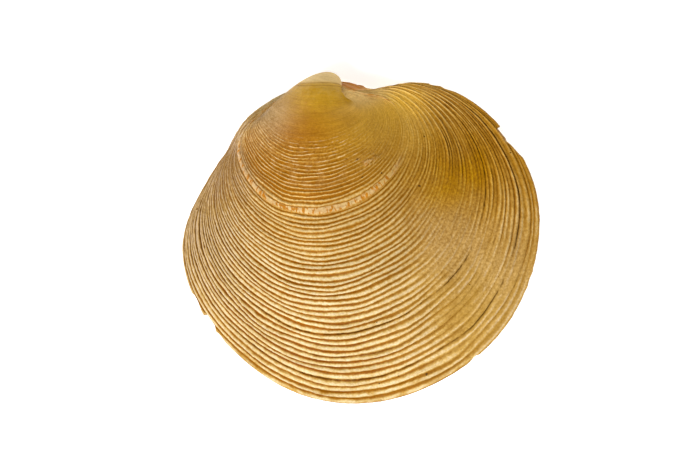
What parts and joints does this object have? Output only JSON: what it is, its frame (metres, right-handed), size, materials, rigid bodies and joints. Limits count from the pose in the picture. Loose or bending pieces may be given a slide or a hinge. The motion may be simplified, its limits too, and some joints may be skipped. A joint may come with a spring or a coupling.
{
  "type": "rayed artemis shell",
  "caption": "Single valve of a rayed artemis clam: a round domed sea shell with fine concentric ribs, a forward-turned beak and a toothed hinge.",
  "frame": {"origin": "middle of the bounding box in plan, on the flat face of the margin that the valve rests on", "axes": "+X to the front (anterior) end, +Y to the hinge and beak, +Z out of the domed outer face; a right valve"},
  "size_m": [0.0499, 0.0436, 0.0122],
  "materials": {
    "shell": "dry, worn calcium carbonate, ochre outside with pale cream rib crests, glossy cream white inside"
  },
  "bodies": {
    "root": {"valve": "shell"}
  },
  "joints": []
}
